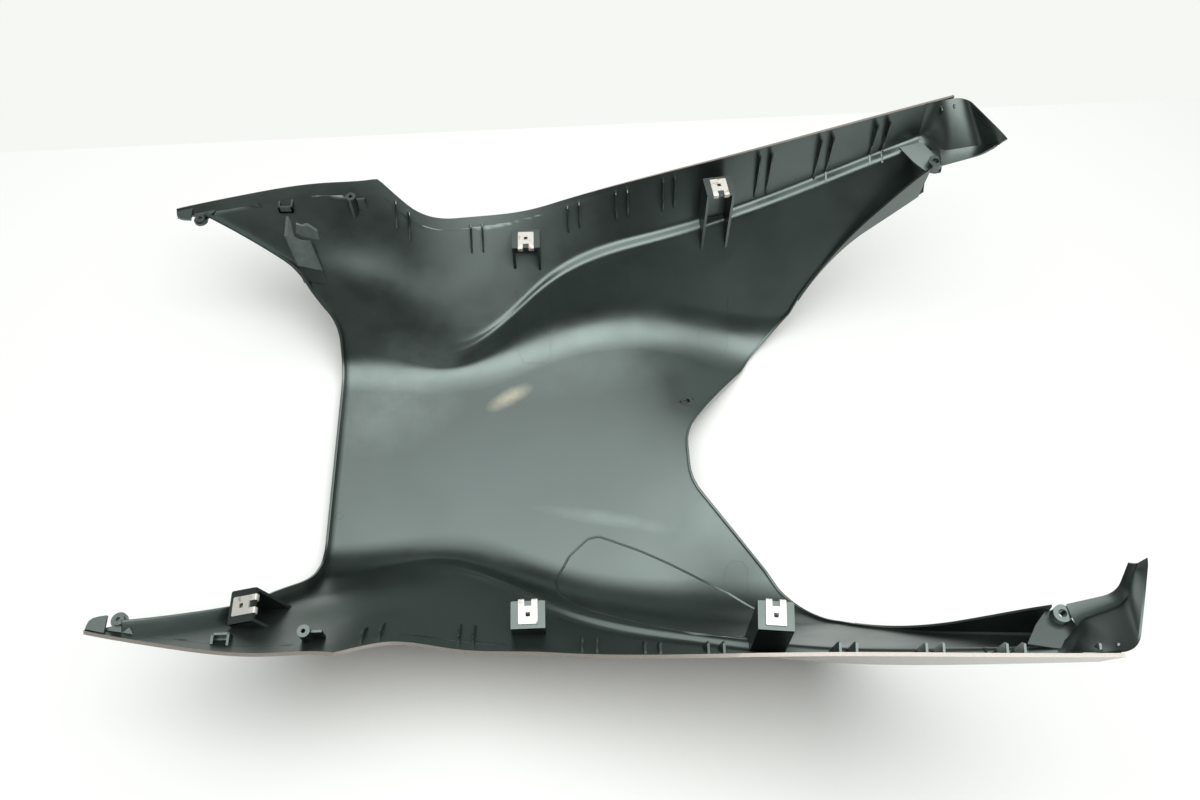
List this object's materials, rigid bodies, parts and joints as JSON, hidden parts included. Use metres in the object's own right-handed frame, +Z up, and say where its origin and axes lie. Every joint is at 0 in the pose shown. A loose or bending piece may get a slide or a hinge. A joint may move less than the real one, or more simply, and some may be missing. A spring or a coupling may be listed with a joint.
{
  "type": "lower fairing",
  "caption": "Trough-shaped lower body fairing of a motor scooter, moulded in plastic with cut-outs at both ends, ribbed side walls and metal clip nuts on box towers.",
  "frame": {"origin": "under the middle of the bounding box, on the surface that the part lies on", "axes": "+X from the tail arms to the nose arms, +Y to the side with the broken tower, +Z up out of the trough"},
  "size_m": [0.6714, 0.4808, 0.2303],
  "materials": {
    "plastic": "black moulded plastic with a satin inside",
    "zinc": "zinc-plated spring steel with rust"
  },
  "bodies": {
    "root": {"fairing_shell": "plastic", "clip_nuts": "zinc"}
  },
  "joints": []
}
